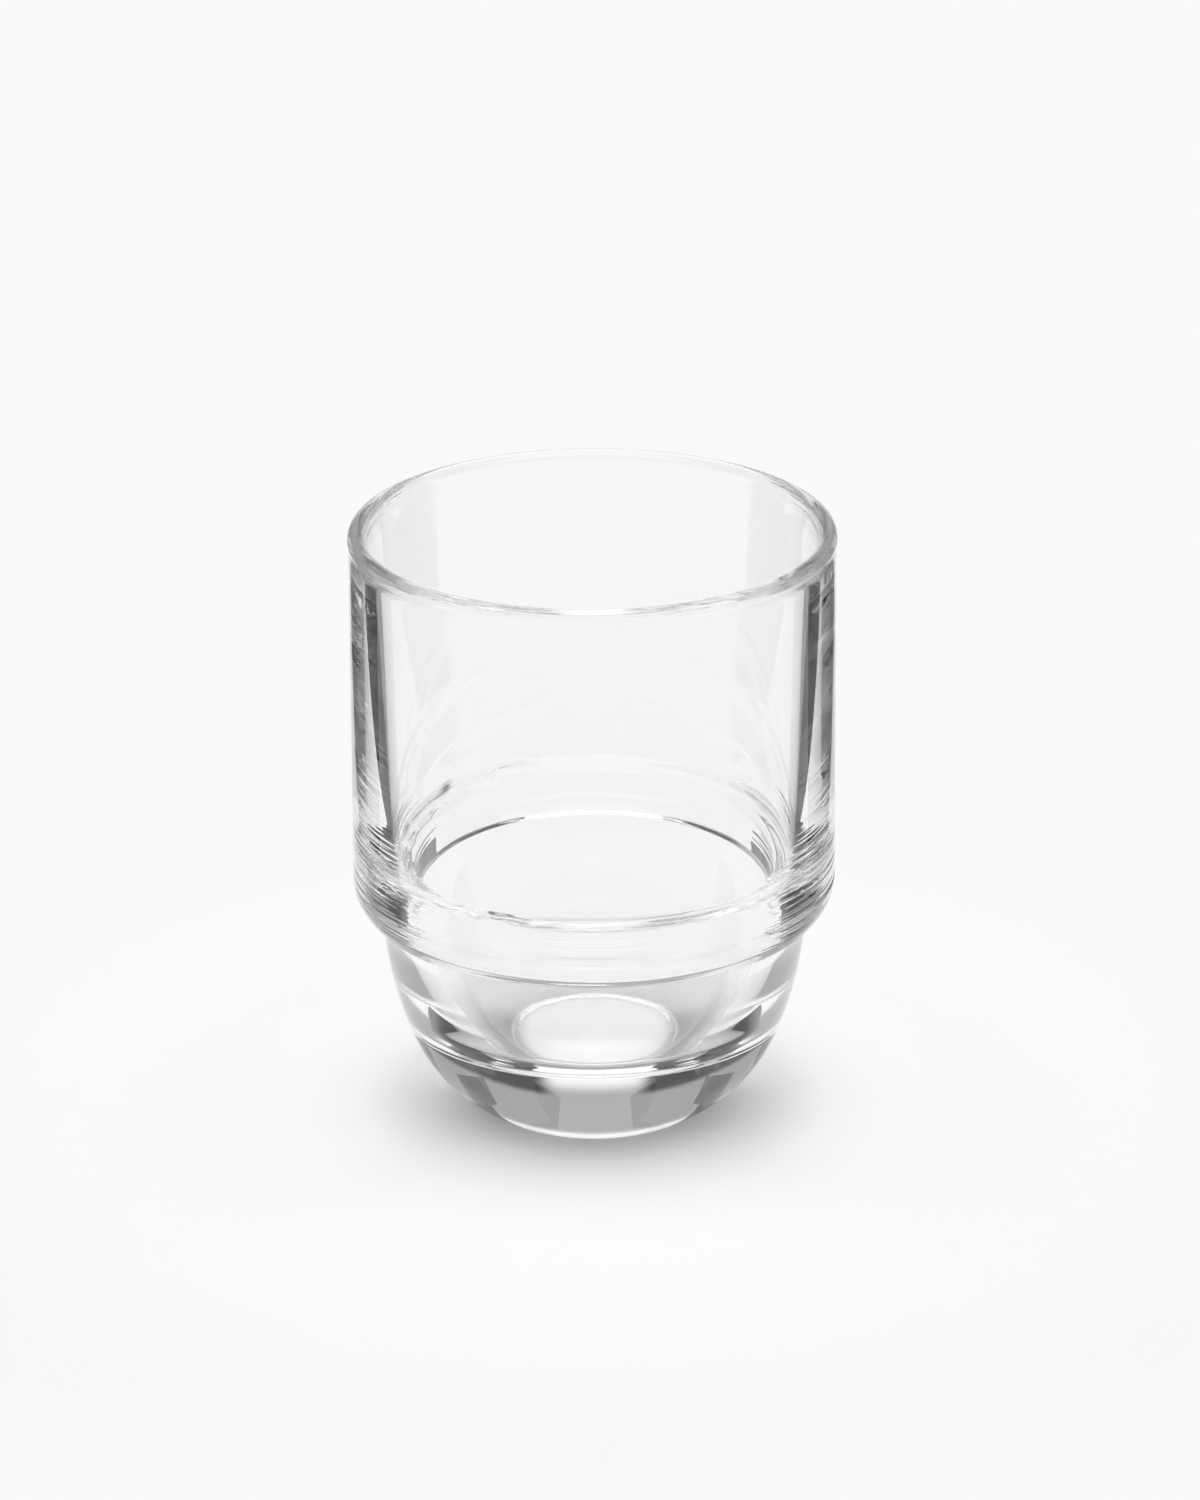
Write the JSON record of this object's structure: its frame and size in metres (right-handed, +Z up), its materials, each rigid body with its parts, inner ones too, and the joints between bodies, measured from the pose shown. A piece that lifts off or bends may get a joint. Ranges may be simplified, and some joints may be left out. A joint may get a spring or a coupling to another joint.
{
  "type": "cortado glass",
  "caption": "Small thick-walled stacking glass: straight upper wall with a rounded lip, a shoulder with a stacking step, and a narrower round bowl with a heavy base.",
  "frame": {"origin": "centre of the foot ring, on the plane that the glass stands on", "axes": "+Z up along the axis of the glass; the glass is round, so X and Y are free"},
  "size_m": [0.068, 0.068, 0.0863],
  "materials": {
    "clear_glass": "fire-polished clear pressed glass"
  },
  "bodies": {
    "root": {"tumbler": "clear_glass"}
  },
  "joints": []
}
